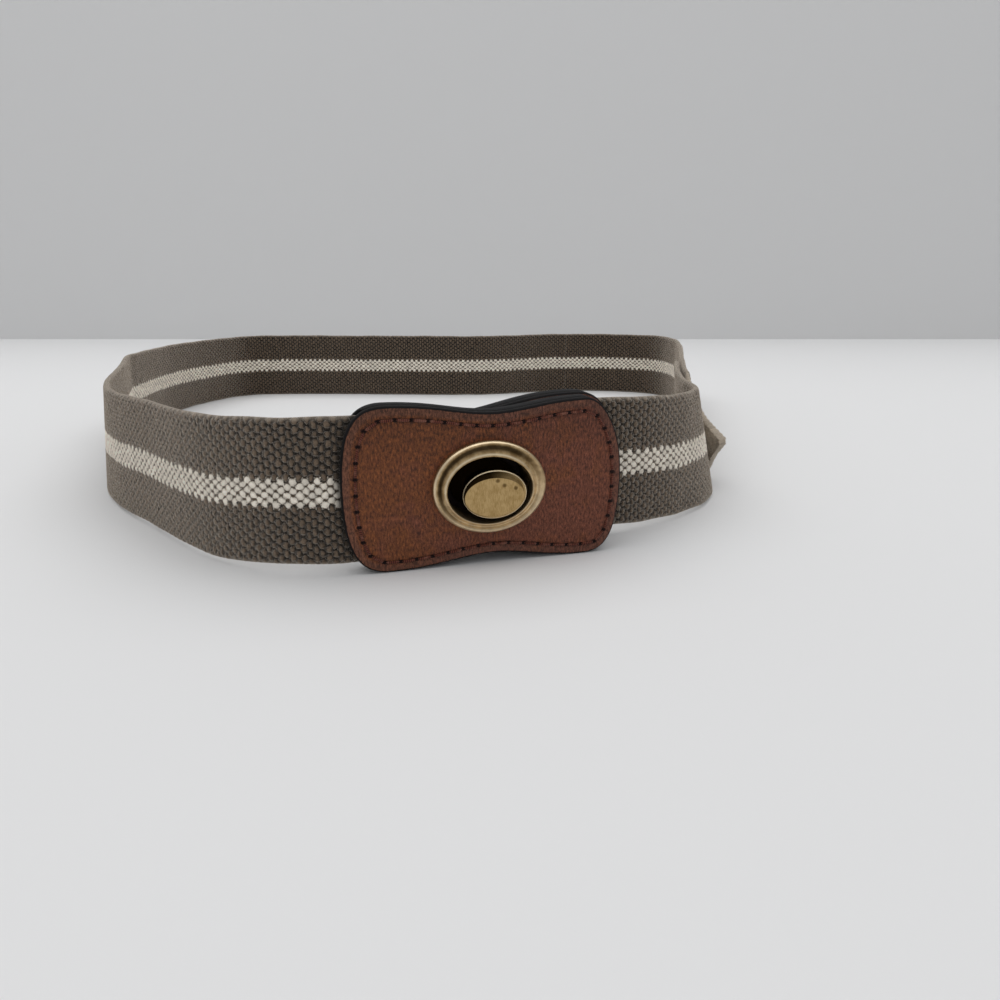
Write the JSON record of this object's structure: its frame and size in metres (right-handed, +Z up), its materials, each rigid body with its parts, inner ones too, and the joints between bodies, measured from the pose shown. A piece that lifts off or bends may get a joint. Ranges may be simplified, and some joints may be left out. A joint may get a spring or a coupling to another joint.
{
  "type": "elastic belt",
  "caption": "Striped elastic webbing belt closed in front by bow-tie leather tabs with an oval eyelet ring over a stud, standing on its edge as a loop.",
  "frame": {"origin": "on the surface that the belt stands on, under the middle of the whole loop", "axes": "+Z up, -Y out of the closure's leather face, +X to the right as seen from in front of the closure"},
  "size_m": [0.2613, 0.2824, 0.036],
  "materials": {
    "webbing": "woven elastic, taupe with a cream centre stripe",
    "leather": "satin, reddish brown, stitched round the edge",
    "edge_black": "black painted edges and backing",
    "brass": "antique, brushed on the stud's top"
  },
  "bodies": {
    "root": {"webbing_long": "webbing", "webbing_short": "webbing", "front_tab_face": "leather", "front_tab_lining": "edge_black", "rear_tab_face": "leather", "rear_tab_lining": "edge_black", "eyelet_ring": "brass", "stud": "brass"}
  },
  "joints": []
}
